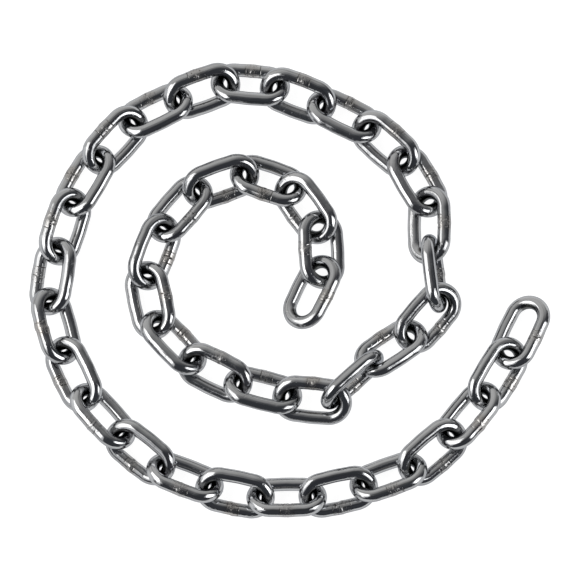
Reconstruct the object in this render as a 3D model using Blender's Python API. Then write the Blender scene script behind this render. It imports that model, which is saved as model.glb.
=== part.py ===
"""A length of welded steel chain, 41 links, lying on a level floor as an open flat spiral.

Every link is one closed ring of round wire. The links lie alternately with one leg on the
floor and the other leg raised, each leaning on the next one. World axes: +X to the right
across the coil, +Y away from the viewer, +Z up. The origin is on the floor, under the middle
of the coil. Lengths below are in millimetres and angles in degrees until the meshes are made.
"""

import math

import bmesh
import bpy
import numpy as np
from mathutils import Matrix, Vector

MM = 0.001

# Driving dimensions of one link, in millimetres. The bow is how far each leg swells outwards
# in its middle, beyond the straight line from one crown to the other.
WIRE = 8.0
PITCH = 32.0
LINK_WIDTH = 29.0
LEG_BOW = 0.3
CLEARANCE = 0.35

# How finely the wire is faceted
SECTION_SIDES = 10
CROWN_STEPS = 8

# Usual lean of a link about its own length, and the links that lie otherwise, in degrees.
# A positive lean raises the left-hand leg of a link, seen from the outer end of the chain.
LEAN = 30
OWN_LEAN = {
    1: 15, 2: -24, 7: 24, 18: -34, 25: 36, 26: -68, 27: -20, 28: 32, 29: -68, 30: -28, 31: 24,
    36: -34, 40: -22,
}

# Where the chain runs, in plan and in millimetres: the outer free end, the place where each
# link hooks into the next, and the inner free end, each read by eye from the photo
ROUTE = (
    (143.5, -11.5), (131.0, -38.5), (115.5, -64.0), (96.0, -87.5), (74.0, -107.5), (44.5, -118.0),
    (14.0, -125.5), (-18.0, -126.5), (-48.5, -120.0), (-78.5, -109.5), (-103.5, -87.5),
    (-124.5, -65.0), (-137.5, -36.5), (-146.5, -5.5), (-140.5, 24.5), (-131.0, 54.0),
    (-116.5, 79.5), (-95.5, 103.0), (-68.5, 116.0), (-39.5, 127.0), (-10.0, 124.0), (18.0, 113.0),
    (45.5, 99.5), (68.5, 78.5), (82.5, 54.0), (82.5, 25.0), (89.0, -5.5), (72.0, -27.0),
    (47.5, -44.0), (25.5, -66.5), (-2.0, -65.0), (-32.0, -57.5), (-60.5, -43.5), (-82.0, -20.5),
    (-88.0, 9.0), (-77.0, 37.5), (-57.5, 61.0), (-27.5, 72.0), (1.0, 61.5), (17.0, 38.0),
    (18.5, 11.5), (6.0, -14.0),
)
LONGEST_STEP = PITCH - 0.5
ROUTE_ROUNDS = 200

# How the links are let down onto the floor: they start this far above it, sink by the first
# share and keep to their laid place by the second, both fading out over the rounds
START_HEIGHT = 1.0
SINKING = 0.06
KEEPING = 0.08
LAYING_ROUNDS = 500
CLEARING_ROUNDS = 60
SQUARED_EVERY = 50

# How hard a ring is to turn about its length, its width and its upright, against moving it
# straight, in square millimetres
TURNING_ARM_SQUARED = (60.0, 260.0, 300.0)
SAMPLE_SPACING = 0.9
NEARLY_NOTHING = 1e-12

CROWN = (LINK_WIDTH - WIRE) / 2
STRAIGHT = PITCH + WIRE - 2 * CROWN
STEEL_COLOUR = (0.48, 0.48, 0.49, 1.0)
STEEL_ROUGHNESS = 0.18


def wire_path():
    """Middle line of one link, flat in X and Y: two half circles and two slightly bowed legs."""
    turn = np.linspace(-math.pi / 2, math.pi / 2, CROWN_STEPS + 1)
    crown = np.stack([STRAIGHT / 2 + CROWN * np.cos(turn), CROWN * np.sin(turn), 0 * turn], axis=1)
    mid_leg = np.array([[0.0, CROWN + LEG_BOW, 0.0]])
    return np.concatenate([crown, mid_leg, -crown, -mid_leg])


def path_samples():
    """Closely spaced points on the middle line, as the faceted wire has it."""
    corners = wire_path()
    points = []
    for start, end in zip(corners, np.roll(corners, -1, axis=0)):
        count = max(1, round(float(np.linalg.norm(end - start)) / SAMPLE_SPACING))
        points += [start + (end - start) * step / count for step in range(count)]
    return np.array(points)


def orientation(heading, lean):
    """Rotation matrix of a link that points along the heading and leans about its own length."""
    return np.array(Matrix.Rotation(heading, 3, "Z") @ Matrix.Rotation(lean, 3, "X"))


def small_turns(vectors):
    """Rotation matrices for an array of short rotation vectors."""
    angle = np.linalg.norm(vectors, axis=1)[:, None, None] + NEARLY_NOTHING
    cross = np.zeros((len(vectors), 3, 3))
    x, y, z = vectors.T
    cross[:, 0, 1], cross[:, 0, 2], cross[:, 1, 2] = -z, y, -x
    cross[:, 1, 0], cross[:, 2, 0], cross[:, 2, 1] = z, -y, x
    cross /= angle
    return np.eye(3) + np.sin(angle) * cross + (1 - np.cos(angle)) * (cross @ cross)


def taut_route():
    """The route with every step short enough for a link of this pitch."""
    route = np.array(ROUTE)
    for _ in range(ROUTE_ROUNDS):
        for first in range(len(route) - 1):
            step = route[first + 1] - route[first]
            length = float(np.linalg.norm(step))
            spare = step * max(0.0, 1 - LONGEST_STEP / length) / 2
            route[first] += spare
            route[first + 1] -= spare
    return route


def laid_out():
    """Centres and orientations of the links along the route, just above the floor."""
    route = taut_route()
    centres = []
    turns = []
    for number, (start, end) in enumerate(zip(route, route[1:]), start=1):
        lean = math.radians(OWN_LEAN.get(number, LEAN if number % 2 else -LEAN))
        height = WIRE / 2 + CROWN * abs(math.sin(lean)) + START_HEIGHT
        along = end - start
        centres.append([*(start + end) / 2, height])
        turns.append(orientation(math.atan2(along[1], along[0]), lean))
    return np.array(centres), np.array(turns)


class Links:
    """The links as rings that move apart where they come too near each other or the floor."""

    def __init__(self, centres, turns):
        self.centres = centres
        self.turns = turns
        self.loop = path_samples()
        self.front = self.loop[:, 0] > 0
        self.quarters = [self.front & (self.loop[:, 1] > 0), self.front & (self.loop[:, 1] <= 0)]

    def points(self):
        return self.loop @ self.turns.transpose(0, 2, 1) + self.centres[:, None]

    def push(self, which, at, shift):
        """Moves and turns each of these links so that its point at a place goes by a shift."""
        size = np.linalg.norm(shift, axis=1, keepdims=True) + NEARLY_NOTHING
        turns = self.turns[which]
        arm = np.cross(at - self.centres[which], shift / size)
        own_arm = np.einsum("nji,nj->ni", turns, arm)
        spin = own_arm / np.array(TURNING_ARM_SQUARED)
        share = size / (1 + (spin * own_arm).sum(axis=1, keepdims=True))
        self.centres[which] += shift / size * share
        self.turns[which] = small_turns(np.einsum("nij,nj->ni", turns, spin * share)) @ turns

    def clear_floor(self):
        """Lifts each end of a link that dips below the floor."""
        everyone = np.arange(len(self.centres))
        for half in (self.front, ~self.front):
            points = self.points()[:, half]
            low = points[:, :, 2].argmin(axis=1)
            at = points[everyone, low]
            shift = np.zeros_like(at)
            shift[:, 2] = np.maximum(0, WIRE / 2 - at[:, 2])
            self.push(everyone, at, shift)

    def clear_neighbours(self):
        """Moves each link and the next apart where less than the clearance is between them."""
        for quarter in self.quarters:
            points = self.points()
            lead = points[:-1][:, quarter]
            trail = points[1:][:, ~self.front]
            apart = lead[:, :, None] - trail[:, None]
            distance = np.sqrt((apart**2).sum(axis=3))
            nearest = distance.reshape(len(distance), -1).argmin(axis=1)
            on_lead, on_trail = np.divmod(nearest, distance.shape[2])
            pair = np.arange(len(distance))
            gap = distance[pair, on_lead, on_trail]
            push = np.maximum(0, WIRE + CLEARANCE - gap) / gap / 2
            shift = apart[pair, on_lead, on_trail] * push[:, None]
            self.push(pair, lead[pair, on_lead], shift)
            self.push(pair + 1, trail[pair, on_trail], -shift)

    def ease_back(self, home, home_turns, share):
        """Draws the links a little towards the place, heading and lean that they were laid at."""
        self.centres[:, :2] += share * (home[:, :2] - self.centres[:, :2])
        rest = home_turns @ self.turns.transpose(0, 2, 1)
        skew = np.stack([
            rest[:, 2, 1] - rest[:, 1, 2],
            rest[:, 0, 2] - rest[:, 2, 0],
            rest[:, 1, 0] - rest[:, 0, 1],
        ], axis=1) / 2
        own_skew = np.einsum("nji,nj->ni", self.turns, skew)
        own_skew[:, 1] = 0
        self.turns = small_turns(share * np.einsum("nij,nj->ni", self.turns, own_skew)) @ self.turns

    def square_up(self):
        """Takes the rounding errors out of the rotation matrices."""
        left, _, right = np.linalg.svd(self.turns)
        self.turns = left @ right


def laid_down(centres, turns):
    """Lets the links down until each one lies on the floor or on its neighbours."""
    links = Links(centres.copy(), turns.copy())
    for step in range(LAYING_ROUNDS):
        left = 1 - step / LAYING_ROUNDS
        links.ease_back(centres, turns, KEEPING * left)
        links.centres[:, 2] -= SINKING * left
        links.clear_floor()
        links.clear_neighbours()
        if step % SQUARED_EVERY == 0:
            links.square_up()
    for _ in range(CLEARING_ROUNDS):
        links.clear_neighbours()
        links.clear_floor()
    return links


def section_radius():
    """Corner radius of the faceted wire, so that it holds as much steel as the round one."""
    half_side = math.pi / SECTION_SIDES
    return WIRE / 2 * math.sqrt(half_side * 2 / math.sin(2 * half_side))


def link_mesh(name, lean):
    """One welded link about its own centre, with a facet of the wire facing down at this lean."""
    radius = section_radius()
    side_angle = 2 * math.pi / SECTION_SIDES
    facing_down = abs(lean) - math.pi / 2
    corner_angles = [facing_down + (side + 0.5) * side_angle for side in range(SECTION_SIDES)]
    shape = bmesh.new()
    rings = []
    for x, y, _ in wire_path():
        crown_centre = max(-STRAIGHT / 2, min(STRAIGHT / 2, x))
        outward = math.atan2(y, x - crown_centre)
        ring = []
        for angle in corner_angles:
            out = radius * math.cos(angle)
            corner = (x + out * math.cos(outward), y + out * math.sin(outward), radius * math.sin(angle))
            ring.append(shape.verts.new([side * MM for side in corner]))
        rings.append(ring)
    for ring, following in zip(rings, rings[1:] + rings[:1]):
        for side in range(SECTION_SIDES):
            after = (side + 1) % SECTION_SIDES
            shape.faces.new((ring[side], following[side], following[after], ring[after]))
    bmesh.ops.recalc_face_normals(shape, faces=shape.faces)
    mesh = bpy.data.meshes.new(name)
    shape.to_mesh(mesh)
    shape.free()
    mesh.shade_smooth()
    return mesh


def polished_steel():
    material = bpy.data.materials.new("polished_steel")
    material.use_nodes = True
    surface = material.node_tree.nodes["Principled BSDF"]
    surface.inputs["Base Color"].default_value = STEEL_COLOUR
    surface.inputs["Roughness"].default_value = STEEL_ROUGHNESS
    surface.inputs["Metallic"].default_value = 1.0
    return material


def build_chain():
    """Makes every link as its own object, and puts the origin on the floor under the coil."""
    links = laid_down(*laid_out())
    material = polished_steel()
    made = []
    for number, (centre, turn) in enumerate(zip(links.centres, links.turns), start=1):
        lean = math.atan2(turn[2, 1], turn[2, 2])
        mesh = link_mesh(f"link_{number:02d}", lean)
        mesh.materials.append(material)
        link = bpy.data.objects.new(f"link_{number:02d}", mesh)
        link.matrix_world = Matrix.LocRotScale(Vector(centre) * MM, Matrix(turn.tolist()), None)
        bpy.context.scene.collection.objects.link(link)
        made.append(link)
    bpy.context.view_layer.update()
    corners = np.array([link.matrix_world @ vertex.co for link in made for vertex in link.data.vertices])
    low, high = corners.min(axis=0), corners.max(axis=0)
    for link in made:
        link.location -= Vector(((low[0] + high[0]) / 2, (low[1] + high[1]) / 2, low[2]))


for old in list(bpy.data.objects):
    bpy.data.objects.remove(old)
build_chain()
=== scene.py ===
"""A length of polished stainless steel chain, 41 welded links, laid out as a flat open spiral."""

import math

import bpy
import numpy as np
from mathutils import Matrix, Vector


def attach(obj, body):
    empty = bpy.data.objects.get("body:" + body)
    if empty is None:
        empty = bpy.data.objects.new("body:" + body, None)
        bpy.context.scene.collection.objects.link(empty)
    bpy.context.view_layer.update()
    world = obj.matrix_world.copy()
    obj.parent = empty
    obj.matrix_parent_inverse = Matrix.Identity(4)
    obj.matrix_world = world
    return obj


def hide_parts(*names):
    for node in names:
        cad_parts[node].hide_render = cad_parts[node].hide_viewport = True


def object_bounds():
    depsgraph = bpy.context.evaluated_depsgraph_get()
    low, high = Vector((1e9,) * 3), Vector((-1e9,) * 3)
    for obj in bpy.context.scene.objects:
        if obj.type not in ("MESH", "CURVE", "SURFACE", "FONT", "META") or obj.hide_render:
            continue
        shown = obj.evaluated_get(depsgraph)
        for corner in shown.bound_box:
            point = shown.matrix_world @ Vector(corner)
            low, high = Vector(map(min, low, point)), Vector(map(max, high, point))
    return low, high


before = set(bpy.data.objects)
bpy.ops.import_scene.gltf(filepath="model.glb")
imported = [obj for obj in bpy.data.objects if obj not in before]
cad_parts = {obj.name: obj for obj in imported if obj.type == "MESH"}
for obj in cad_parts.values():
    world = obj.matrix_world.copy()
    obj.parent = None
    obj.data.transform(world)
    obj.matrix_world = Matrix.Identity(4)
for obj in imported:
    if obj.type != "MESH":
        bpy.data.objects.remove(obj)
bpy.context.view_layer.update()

# The round bar.
# Each link starts as a straight piece of bright drawn stainless steel bar, 8 mm through, and
# stays round all the way: the section below is swept along the bent link.

MM = 0.001
BAR = 8.0
ROUND_POINTS = 48
around = np.linspace(0, 2 * math.pi, ROUND_POINTS, endpoint=False)


def steps_between(start, end, spacing):
    """Evenly spaced lengths from start up to, but not including, the end."""
    count = max(1, math.ceil((end - start) / spacing))
    return np.linspace(start, end, count, endpoint=False)


# The bent link.
# The bar is bent cold round two formers into a long oval, 48 mm by 29 mm outside, with a half
# circle at each end and legs that spring back into a slight bow. The length along the bar is
# counted from the joint in the middle of one leg.

PITCH = 32.0
LINK_WIDTH = 29.0
LEG_BOW = 0.3
CROWN = (LINK_WIDTH - BAR) / 2
LEG = PITCH + BAR - 2 * CROWN
HALF_LOOP = LEG + math.pi * CROWN
CROWN_SPACING = 0.85
LEG_SPACING = 1.6


def bent_bar(length):
    """Middle line and outward direction of the bent bar, in the plane of the link."""
    side = np.sign(length)
    run = np.abs(length)
    turn = np.clip((run - LEG / 2) / CROWN, 0, math.pi)
    on_crown = (run > LEG / 2) & (run < HALF_LOOP - LEG / 2)
    far_leg = run >= HALF_LOOP - LEG / 2
    x = np.where(far_leg, HALF_LOOP - run, np.where(on_crown, LEG / 2 + CROWN * np.sin(turn), run))
    bow = np.where(on_crown, 0, LEG_BOW * np.cos(math.pi * x / LEG) ** 2)
    out = np.stack([side * np.sin(turn), np.cos(turn), 0 * turn], axis=1)
    return np.stack([side * x, CROWN * np.cos(turn), 0 * x], axis=1) + bow[:, None] * out, out


def tube_faces(stations):
    """Four-sided faces of a closed tube that has this many sections along it."""
    first = np.arange(stations)[:, None] * ROUND_POINTS
    after = (np.arange(stations)[:, None] + 1) % stations * ROUND_POINTS
    this = np.arange(ROUND_POINTS)[None]
    beside = (this + 1) % ROUND_POINTS
    return np.stack([first + this, first + beside, after + beside, after + this], axis=2)


# The butt weld.
# The ends of the bar meet in the middle of one leg, are pressed together hot, and the fin that
# squeezes out is trimmed off. What stays is a slight swelling with a ragged seam and nicks in
# it, and a fine line on each side where the clamps of the welding machine held the bar.

WELD_SPACING = 0.25
WELD_REACH = 7.5
WAVES = 12
AT_JOINT = np.zeros(1)
RING_LOBES = 4

SWELLING = 0.10
SWOLLEN_REACH = 3.6
UNEVENNESS = 0.5
UNEVEN_PACE = 1.2
UNEVEN_LOBES = 5

SEAM_HEIGHT = 0.12
SEAM_WIDTH = 0.9
SEAM_WANDER = 0.5
SEAM_MEAN = 0.4
SEAM_SWING = 0.8
RAGGED_PACE = 3.5
RAGGED_LOBES = 12
TRIMMED_AT = 0.14

CLAMP_LINE = (2.6, 5.6)
CLAMP_DEPTH = 0.13
CLAMP_WIDTH = 0.24
CLAMP_BITE = 0.35

NICKS = 4
NICK_DEPTH = 0.32
SHALLOWEST_NICK = 0.3
NICK_LENGTH = 0.5
NICK_ANGLE = 0.32
NICK_SPREAD = 1.4
NICK_TURN = 0.9

MISFIT = 0.07

# Numbers of the links that have their weld on the leg towards the inside of the coil
WELDED_ON_INNER_LEG = (28, *range(30, 41))


def waves(rng, length, pace, lobes):
    """Sum of random waves over the bar's surface, mostly between -1 and 1."""
    total = np.zeros((len(length), ROUND_POINTS))
    for _ in range(WAVES):
        turns = rng.integers(0, lobes)
        speed = rng.uniform(-pace, pace)
        start = rng.uniform(0, 2 * math.pi)
        total += np.cos(turns * around[None] + speed * length[:, None] + start)
    return total / math.sqrt(WAVES)


def hump(distance, width):
    """1 at no distance, falling off smoothly to nearly nothing at twice the width."""
    return np.exp(-((distance / width) ** 2))


def weld_marks(rng, length):
    """How far the weld stands out of the round bar, and how deeply it is scored, 0 to 1."""
    along = length[:, None]
    seam_line = SEAM_WANDER * waves(rng, AT_JOINT, 0, RING_LOBES)
    raggedness = SEAM_MEAN + SEAM_SWING * waves(rng, length, RAGGED_PACE, RAGGED_LOBES)
    ragged = hump(along - seam_line, SEAM_WIDTH) * raggedness
    seam = np.minimum(SEAM_HEIGHT * ragged, TRIMMED_AT)
    unevenness = 1 + UNEVENNESS * waves(rng, length, UNEVEN_PACE, UNEVEN_LOBES)
    swelling = SWELLING * hump(along, SWOLLEN_REACH) * unevenness
    scored = np.zeros_like(seam)
    for side in (-1, 1):
        line = side * rng.uniform(*CLAMP_LINE)
        bitten = np.clip(CLAMP_BITE + waves(rng, AT_JOINT, 0, RING_LOBES), 0, 1)
        scored = np.maximum(scored, hump(along - line, CLAMP_WIDTH) * bitten)
    nicks = np.zeros_like(seam)
    for depth in rng.uniform(SHALLOWEST_NICK, 1, NICKS):
        place = rng.normal(0, NICK_SPREAD)
        facing = math.pi + rng.normal(0, NICK_TURN)
        apart = (around[None] - facing + math.pi) % (2 * math.pi) - math.pi
        nick = hump(along - place, NICK_LENGTH) * hump(apart, NICK_ANGLE)
        nicks = np.maximum(nicks, depth * nick)
    return seam + swelling - CLAMP_DEPTH * scored - NICK_DEPTH * nicks, np.maximum(scored, nicks)


def weld_misfit(rng, length):
    """Sideways step between the two ends of the bar, fading out along them."""
    fade = np.tanh(length / SEAM_WIDTH) * hump(length, SWOLLEN_REACH)
    return fade[:, None] * np.array([0.0, *rng.normal(0, MISFIT, 2)])


def link_stations():
    """Lengths along the bar at which its section is drawn, closest at the weld."""
    crown_start, crown_end = LEG / 2, HALF_LOOP - LEG / 2
    half = np.concatenate([
        steps_between(0, WELD_REACH, WELD_SPACING),
        steps_between(WELD_REACH, crown_start, CROWN_SPACING),
        steps_between(crown_start, crown_end, CROWN_SPACING),
        steps_between(crown_end, HALF_LOOP, LEG_SPACING),
    ])
    return np.concatenate([half, [HALF_LOOP], -half[:0:-1]])


def add_values(mesh, name, kind, field, values):
    """Writes one value, or one vector, for each point of the mesh."""
    layer = mesh.attributes.new(name, kind, "POINT")
    layer.data.foreach_set(field, np.asarray(values, np.float32).ravel())


def link_shape(name, number, centre, turn):
    """Mesh of one link where it lies. Its own X runs along it and Y across it, to the weld."""
    rng = np.random.default_rng(number)
    length = link_stations()
    middle, out = bent_bar(length)
    middle = middle + weld_misfit(rng, length)
    height, scored = weld_marks(rng, length)
    radius = BAR / 2 + height
    up = np.array([0.0, 0.0, 1.0])
    ring = np.cos(around)[None, :, None] * out[:, None] + np.sin(around)[None, :, None] * up
    points = middle[:, None] + radius[:, :, None] * ring
    if number in WELDED_ON_INNER_LEG:
        points[:, :, :2] *= -1
    place = np.stack([
        BAR / 2 * np.cos(around)[None] + 0 * length[:, None],
        BAR / 2 * np.sin(around)[None] + 0 * length[:, None],
        np.abs(length)[:, None] + HALF_LOOP * number + 0 * around[None],
    ], axis=2)
    mesh = bpy.data.meshes.new(name)
    lying = points.reshape(-1, 3) * MM @ turn.T + centre
    mesh.from_pydata(lying.tolist(), [], tube_faces(len(length)).reshape(-1, 4).tolist())
    add_values(mesh, "bar_place", "FLOAT_VECTOR", "vector", place)
    add_values(mesh, "from_weld", "FLOAT", "value", np.abs(length)[:, None] + 0 * around[None])
    add_values(mesh, "scored", "FLOAT", "value", scored)
    mesh.shade_smooth()
    return mesh


# The polished steel.
# Tumbling and polishing bring the welded links to a mirror. Drawing lines and small dents stay
# along the bar, pits and a straw tint at the weld. The insides of the bends carry a painted
# shade: a dark colour standing in for the shadow in the joins.

STEEL = (0.385, 0.390, 0.398, 1.0)
DULL_STEEL = (0.235, 0.238, 0.243, 1.0)
STEEL_EDGE = (0.53, 0.545, 0.575, 1.0)
HEAT_TINT = (0.26, 0.22, 0.175, 1.0)
PIT_COLOUR = (0.05, 0.045, 0.04, 1.0)
# Painted shade: the dark colour laid on the inner faces of the bends, standing in for the shadow
# in the joins
PAINTED_BEND_SHADE = (0.030, 0.032, 0.028, 1.0)

# Where each mark starts and where it is full or gone: in millimetres from the weld, in
# millimetres outwards from the bar's middle, or in the noise it comes from, between 0 and 1
NOISE_MIDDLE = 0.5
WELD_SKIN = (0.8, 3.6)
PITTED_REACH = (1.5, 6.0)
HEATED_REACH = (2.0, 7.0)
HEAT_WANDER = 3.0
# The painted shade inside the bends: where along the bend it lies, on which face, and how soft its
# edge is
BEND_MIDDLE = HALF_LOOP / 2
BEND_SHADE_FULL_TO = 6.0
BEND_SHADE_GONE_FROM = 14.0
INNER_FACE = (-3.8, -0.4)
BEND_SHADE_EDGE = (0.15, 0.75)
DULL_NOISE = (0.50, 0.66)
PIT_NOISE = (0.60, 0.66)
DENT_NOISE = (0.64, 0.76)
HOT_NOISE = (0.35, 0.65)

# How strongly each mark shows in the colour
LEAST_DULL = 0.45
SMUDGED_DULL = 0.5
LEAST_HEATED = 0.08
HOTTER = 0.27
# The painted shade inside the bends: how patchy it is, and how far it darkens the colour
BEND_SHADE_PATCHES = 0.4
BEND_SHADE_COVER = 0.8
SCORE_SHADE = 1.3
PIT_COVER = 0.85

# Roughness of the polish, and what each mark adds to it
POLISH = 0.07
SMUDGE_HAZE = 0.06
LINE_HAZE = 0.04
WELD_HAZE = 0.12
PIT_HAZE = 0.25
SCORE_HAZE = 0.3

# Heights in the relief, as shares of its distance
LINE_HEIGHT = 3.4
FLAT_HEIGHT = 5.0
RIPPLE_HEIGHT = 1.2
GRAIN_HEIGHT = 0.04
WELD_GRAIN_HEIGHT = 0.3
PIT_DEPTH = 1.0
DENT_DEPTH = 0.8
RELIEF_DISTANCE = 0.00012
RELIEF_STRENGTH = 0.35


class Finish:
    """One output of a material's nodes. An expression on it adds the nodes that work it out."""

    def __init__(self, tree, socket=None):
        self.tree = tree
        self.socket = socket

    def node(self, kind, settings, inputs, output=0):
        """Adds a node with these settings and these values or links, and gives one output."""
        made = self.tree.nodes.new(kind)
        for name, value in settings.items():
            setattr(made, name, value)
        for name, value in inputs.items():
            self.feed(made.inputs[name], value)
        return Finish(self.tree, made.outputs[output])

    def feed(self, socket, value):
        """Links the socket to an output, or sets it to a plain value."""
        if isinstance(value, Finish):
            self.tree.links.new(value.socket, socket)
        else:
            socket.default_value = value

    def maths(self, operation, first, second):
        """Adds a Math node on two outputs or numbers."""
        return self.node("ShaderNodeMath", {"operation": operation}, {0: first, 1: second})

    def __add__(self, other):
        return self.maths("ADD", self, other)

    def __sub__(self, other):
        return self.maths("SUBTRACT", self, other)

    def __mul__(self, other):
        return self.maths("MULTIPLY", self, other)

    def __rsub__(self, other):
        return self.maths("SUBTRACT", other, self)

    __radd__ = __add__
    __rmul__ = __mul__

    def stretched(self, across, along):
        """The same place on the bar, scaled across it and along it."""
        factors = (across, across, along)
        return self.node("ShaderNodeVectorMath", {"operation": "MULTIPLY"}, {0: self, 1: factors})

    def noise(self, detail):
        """Smooth noise over this place."""
        inputs = {"Vector": self, "Scale": 1.0, "Detail": detail, "Distortion": 0.0}
        return self.node("ShaderNodeTexNoise", {}, inputs)

    def ramp(self, low, high):
        """0 up to low, 1 from high on, and smooth between."""
        inputs = {"Value": self, "From Min": low, "From Max": high}
        return self.node("ShaderNodeMapRange", {"interpolation_type": "SMOOTHSTEP"}, inputs)

    def between(self, first, second):
        """The first colour where this is 0, the second where it is 1, and mixed between."""
        inputs = {"Factor": self, "A": first, "B": second}
        return self.node("ShaderNodeMix", {"data_type": "RGBA"}, inputs, "Result")


def polished_steel():
    """Material of the links, from the place on the bar that each point of a link carries."""
    material = bpy.data.materials.new("polished_steel")
    material.use_nodes = True
    tree = material.node_tree
    surface = tree.nodes["Principled BSDF"]
    steel = Finish(tree)
    place = steel.node("ShaderNodeAttribute", {"attribute_name": "bar_place"}, {}, "Vector")
    from_weld = steel.node("ShaderNodeAttribute", {"attribute_name": "from_weld"}, {}, "Fac")
    scored = steel.node("ShaderNodeAttribute", {"attribute_name": "scored"}, {}, "Fac")

    drawing_lines = place.stretched(across=0.75, along=0.012).noise(detail=2.0)
    flats = place.stretched(across=0.45, along=0.02).noise(detail=1.0)
    smudges = place.stretched(across=0.14, along=0.10).noise(detail=3.0)
    ripples = place.stretched(across=0.35, along=0.25).noise(detail=1.0)
    grains = place.stretched(across=1.2, along=1.2).noise(detail=3.0)
    dents = place.stretched(across=0.65, along=0.45).noise(detail=1.0).ramp(*DENT_NOISE)
    hotter = place.stretched(across=0.0, along=0.02).noise(detail=0.0).ramp(*HOT_NOISE)

    reach = from_weld + HEAT_WANDER * (smudges - NOISE_MIDDLE)
    heated = (1 - reach.ramp(*HEATED_REACH)) * (LEAST_HEATED + HOTTER * hotter)
    weld_skin = 1 - from_weld.ramp(*WELD_SKIN)
    near_weld = 1 - from_weld.ramp(*PITTED_REACH)
    pits = grains.ramp(*PIT_NOISE) * near_weld
    dull_lines = drawing_lines.ramp(*DULL_NOISE) * (LEAST_DULL + SMUDGED_DULL * smudges)
    outward = steel.node("ShaderNodeSeparateXYZ", {}, {"Vector": place}, "X")
    # Painted shade: the inner faces of the bends are darkened to stand in for the shadow between
    # the links
    into_bend = from_weld.ramp(BEND_MIDDLE - BEND_SHADE_GONE_FROM, BEND_MIDDLE - BEND_SHADE_FULL_TO)
    out_of_bend = from_weld.ramp(BEND_MIDDLE + BEND_SHADE_FULL_TO, BEND_MIDDLE + BEND_SHADE_GONE_FROM)
    inside_bend = (1 - outward.ramp(*INNER_FACE)) * (into_bend - out_of_bend)
    painted_bend_shade = (inside_bend + BEND_SHADE_PATCHES * (smudges - NOISE_MIDDLE)).ramp(*BEND_SHADE_EDGE)

    lined_steel = dull_lines.between(STEEL, DULL_STEEL)
    tinted_steel = heated.between(lined_steel, HEAT_TINT)
    bend_shaded_steel = (painted_bend_shade * BEND_SHADE_COVER).between(tinted_steel, PAINTED_BEND_SHADE)
    marked = (pits + SCORE_SHADE * scored).ramp(0.0, 1.0) * PIT_COVER
    roughness = (
        POLISH + SMUDGE_HAZE * smudges + LINE_HAZE * drawing_lines
        + WELD_HAZE * weld_skin + PIT_HAZE * pits + SCORE_HAZE * scored
    )
    relief = (
        LINE_HEIGHT * drawing_lines + FLAT_HEIGHT * flats + RIPPLE_HEIGHT * ripples
        + grains * (GRAIN_HEIGHT + WELD_GRAIN_HEIGHT * near_weld)
        - PIT_DEPTH * pits - DENT_DEPTH * dents
    )
    bump = steel.node(
        "ShaderNodeBump", {},
        {"Strength": RELIEF_STRENGTH, "Distance": RELIEF_DISTANCE, "Height": relief},
    )
    steel.feed(surface.inputs["Base Color"], marked.between(bend_shaded_steel, PIT_COLOUR))
    steel.feed(surface.inputs["Roughness"], roughness)
    steel.feed(surface.inputs["Normal"], bump)
    surface.inputs["Metallic"].default_value = 1.0
    surface.inputs["Specular Tint"].default_value = STEEL_EDGE
    return material


# The chain.
# Each link was threaded through the last one before it was welded shut, so the links hang
# together loosely. They lie by turns with one leg on the floor and the other one raised.

steel_finish = polished_steel()
link_names = sorted(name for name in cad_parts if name.startswith("link_"))
MICROMETRE_DECIMALS = 6


def solid_points(name):
    """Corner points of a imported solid, each of them once, to the micrometre."""
    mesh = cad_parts[name].data
    points = np.empty(len(mesh.vertices) * 3, np.float32)
    mesh.vertices.foreach_get("co", points)
    return np.unique(np.round(points.reshape(-1, 3).astype(float), MICROMETRE_DECIMALS), axis=0)


def lie_of(points, towards):
    """Where a link lies: its centre, and its long, cross and upright directions as a matrix."""
    centre = points.mean(axis=0)
    _, directions = np.linalg.eigh(np.cov((points - centre).T))
    upright, cross, along = directions.T
    along = along * np.sign(along @ towards)
    cross = cross * np.sign(along[0] * cross[1] - along[1] * cross[0])
    return centre, np.stack([along, cross, np.cross(along, cross)], axis=1)


solids = [solid_points(name) for name in link_names]
centres = [points.mean(axis=0) for points in solids]
for number, (name, points) in enumerate(zip(link_names, solids), start=1):
    ahead = min(number, len(centres) - 1)
    centre, turn = lie_of(points, centres[ahead] - centres[ahead - 1])
    link = bpy.data.objects.new(f"steel_{name}", link_shape(f"steel_{name}", number, centre, turn))
    link.data.materials.append(steel_finish)
    bpy.context.scene.collection.objects.link(link)
    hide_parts(name)
    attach(link, "root")

seen_low, seen_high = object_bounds()


# The studio.
# The chain lies on a white sheet lit from behind, between a left and a right soft panel, each
# brighter in its middle and with a low foot, and a narrow panel at the near left. The room is
# light at its far left and dark at its near right. A long lens looks down from in front.

SHEET_SIDE = 12.0
SHEET_GREY = (0.22, 0.22, 0.22, 1.0)
SHEET_ROUGHNESS = 0.9
SHEET_GLOW = 0.93
GLOW_COLOUR = (1.0, 1.0, 1.0, 1.0)

PLAIN_WHITE = (1.0, 1.0, 1.0)
WARM_WHITE = (1.0, 0.985, 0.965)
COOL_WHITE = (0.95, 0.97, 1.0)

LIT_WALL = (0.95, 0.94, 0.92, 1.0)
DARK_WALL = (0.070, 0.075, 0.085, 1.0)
LIT_SIDE = (-0.5, 0.87, 0.0)
WALL_SHADING = (-0.25, 1.0)

PICTURE_SIDE = 0.3508
PICTURE_MIDDLE = Vector((0.0016, -0.0006, 0.0))
CAMERA_ELEVATION = math.radians(81)
CAMERA_DISTANCE = 3.0
SENSOR = 36.0


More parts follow.
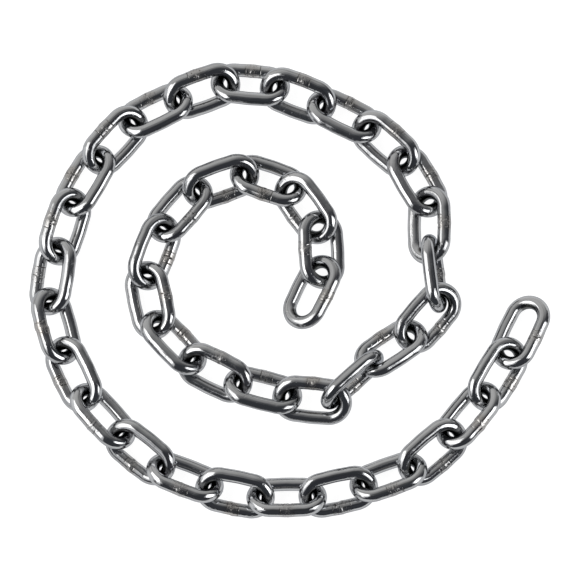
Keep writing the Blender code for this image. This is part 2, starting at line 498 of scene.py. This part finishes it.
def white_sheet():
    """A wide flat sheet under the chain, lit from behind so that it is white all over."""
    mesh = bpy.data.meshes.new("white_sheet")
    half = SHEET_SIDE / 2
    corners = [(-half, -half), (half, -half), (half, half), (-half, half)]
    mesh.from_pydata([(x, y, seen_low.z) for x, y in corners], [], [(0, 1, 2, 3)])
    material = bpy.data.materials.new("white_sheet")
    material.use_nodes = True
    surface = material.node_tree.nodes["Principled BSDF"]
    surface.inputs["Base Color"].default_value = SHEET_GREY
    surface.inputs["Roughness"].default_value = SHEET_ROUGHNESS
    surface.inputs["Emission Color"].default_value = GLOW_COLOUR
    surface.inputs["Emission Strength"].default_value = SHEET_GLOW
    mesh.materials.append(material)
    sheet = bpy.data.objects.new("white_sheet", mesh)
    bpy.context.scene.collection.objects.link(sheet)


def soft_light(name, place, aim, size, strength, colour=PLAIN_WHITE):
    """A rectangular soft light that faces a point. Its strength is the brightness of its face."""
    lamp = bpy.data.lights.new(name, "AREA")
    lamp.shape = "RECTANGLE"
    lamp.size, lamp.size_y = size
    lamp.energy = strength * size[0] * size[1] * math.pi
    lamp.color = colour
    light = bpy.data.objects.new(name, lamp)
    light.location = place
    light.rotation_euler = (Vector(aim) - Vector(place)).to_track_quat("-Z", "Y").to_euler()
    light.visible_camera = False
    bpy.context.scene.collection.objects.link(light)


def dim_room():
    """Walls that go from light at the far left to dark at the near right."""
    world = bpy.data.worlds.new("dim_room")
    world.use_nodes = True
    room = Finish(world.node_tree)
    direction = room.node("ShaderNodeTexCoord", {}, {}, "Generated")
    facing = room.node(
        "ShaderNodeVectorMath", {"operation": "DOT_PRODUCT"},
        {0: direction, 1: LIT_SIDE}, "Value",
    )
    walls = facing.ramp(*WALL_SHADING).between(DARK_WALL, LIT_WALL)
    room.feed(world.node_tree.nodes["Background"].inputs["Color"], walls)
    return world


def long_lens():
    """The camera, far off and high in front, aimed at the middle of the picture."""
    lens = bpy.data.cameras.new("camera")
    lens.sensor_width = SENSOR
    lens.lens = SENSOR * CAMERA_DISTANCE / PICTURE_SIDE
    camera = bpy.data.objects.new("camera", lens)
    back = Vector((0, -math.cos(CAMERA_ELEVATION), math.sin(CAMERA_ELEVATION)))
    camera.location = PICTURE_MIDDLE + back * CAMERA_DISTANCE
    camera.rotation_euler = (-back).to_track_quat("-Z", "Y").to_euler()
    bpy.context.scene.collection.objects.link(camera)
    return camera


white_sheet()
soft_light(
    "left_panel", place=(-0.50, -0.07, 0.64), aim=(0, -0.07, 0.64),
    size=(0.68, 0.80), strength=2.2, colour=WARM_WHITE,
)
soft_light(
    "left_panel_middle", place=(-0.46, -0.10, 0.56), aim=(0, -0.10, 0.56),
    size=(0.36, 0.50), strength=2.0, colour=WARM_WHITE,
)
soft_light(
    "left_panel_foot", place=(-0.50, -0.06, 0.13), aim=(0, -0.06, 0.13),
    size=(0.44, 0.24), strength=0.6, colour=COOL_WHITE,
)
soft_light(
    "near_left_panel", place=(-0.58, -0.52, 0.78), aim=(0, 0, 0.78),
    size=(0.24, 1.20), strength=1.0,
)
soft_light(
    "right_panel", place=(0.82, -0.30, 0.66), aim=(0, 0, 0),
    size=(0.64, 0.62), strength=2.3,
)
soft_light(
    "right_panel_middle", place=(0.78, -0.28, 0.62), aim=(0, 0, 0),
    size=(0.44, 0.42), strength=2.5,
)
soft_light(
    "right_panel_foot", place=(0.95, -0.33, 0.25), aim=(0, 0, 0),
    size=(0.50, 0.40), strength=1.3,
)
bpy.context.scene.world = dim_room()
bpy.context.scene.view_settings.view_transform = "Standard"
bpy.context.scene.camera = long_lens()
